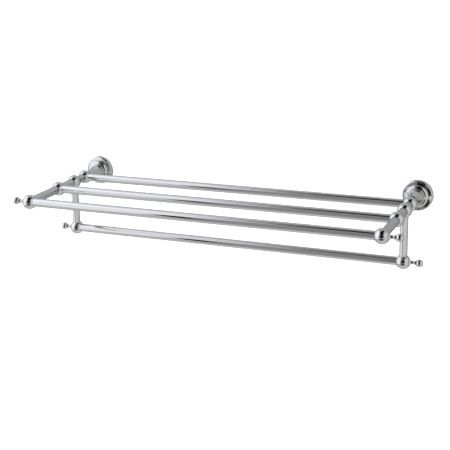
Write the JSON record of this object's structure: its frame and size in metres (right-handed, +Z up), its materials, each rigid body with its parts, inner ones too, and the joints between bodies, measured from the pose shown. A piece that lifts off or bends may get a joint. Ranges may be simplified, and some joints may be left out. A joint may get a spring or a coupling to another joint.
{
  "type": "towel rack",
  "caption": "Wall-mounted bathroom towel rack: a shelf of parallel chrome rails on two ball-jointed arms, with a towel rail hanging on drop posts below.",
  "frame": {"origin": "on the wall plane, at the centre of the four wall-screw holes, midway between the two arms and level with them", "axes": "+X runs along the rails to the right as seen from the room, +Y points into the wall, and +Z points up; the rack stands out from the wall towards -Y"},
  "size_m": [0.6644, 0.252, 0.1227],
  "materials": {
    "chrome": "polished chrome plating on brass",
    "steel": "zinc-plated steel, dull",
    "brass": "bare turned brass"
  },
  "bodies": {
    "root": {"rear_rail": "chrome", "middle_rail": "chrome", "front_rail": "chrome", "lower_rail": "chrome", "front_rail_inserts": "brass", "lower_rail_inserts": "brass", "left_flange": "chrome", "left_neck": "chrome", "left_rear_ball": "chrome", "left_drop_ball": "chrome", "left_middle_ball": "chrome", "left_front_ball": "chrome", "left_lower_ball": "chrome", "left_rear_spacer": "chrome", "left_middle_spacer": "chrome", "left_arm_tube": "chrome", "left_drop_post": "chrome", "left_front_finial": "chrome", "left_lower_finial": "chrome", "left_wall_bracket": "steel", "left_flange_screw": "steel", "left_tie_rod": "steel", "left_tie_washer": "steel", "left_tie_nut": "steel", "left_post_stud": "steel", "left_rail_screws": "steel", "right_flange": "chrome", "right_neck": "chrome", "right_rear_ball": "chrome", "right_drop_ball": "chrome", "right_middle_ball": "chrome", "right_front_ball": "chrome", "right_lower_ball": "chrome", "right_rear_spacer": "chrome", "right_middle_spacer": "chrome", "right_arm_tube": "chrome", "right_drop_post": "chrome", "right_front_finial": "chrome", "right_lower_finial": "chrome", "right_wall_bracket": "steel", "right_flange_screw": "steel", "right_tie_rod": "steel", "right_tie_washer": "steel", "right_tie_nut": "steel", "right_post_stud": "steel", "right_rail_screws": "steel"}
  },
  "joints": []
}
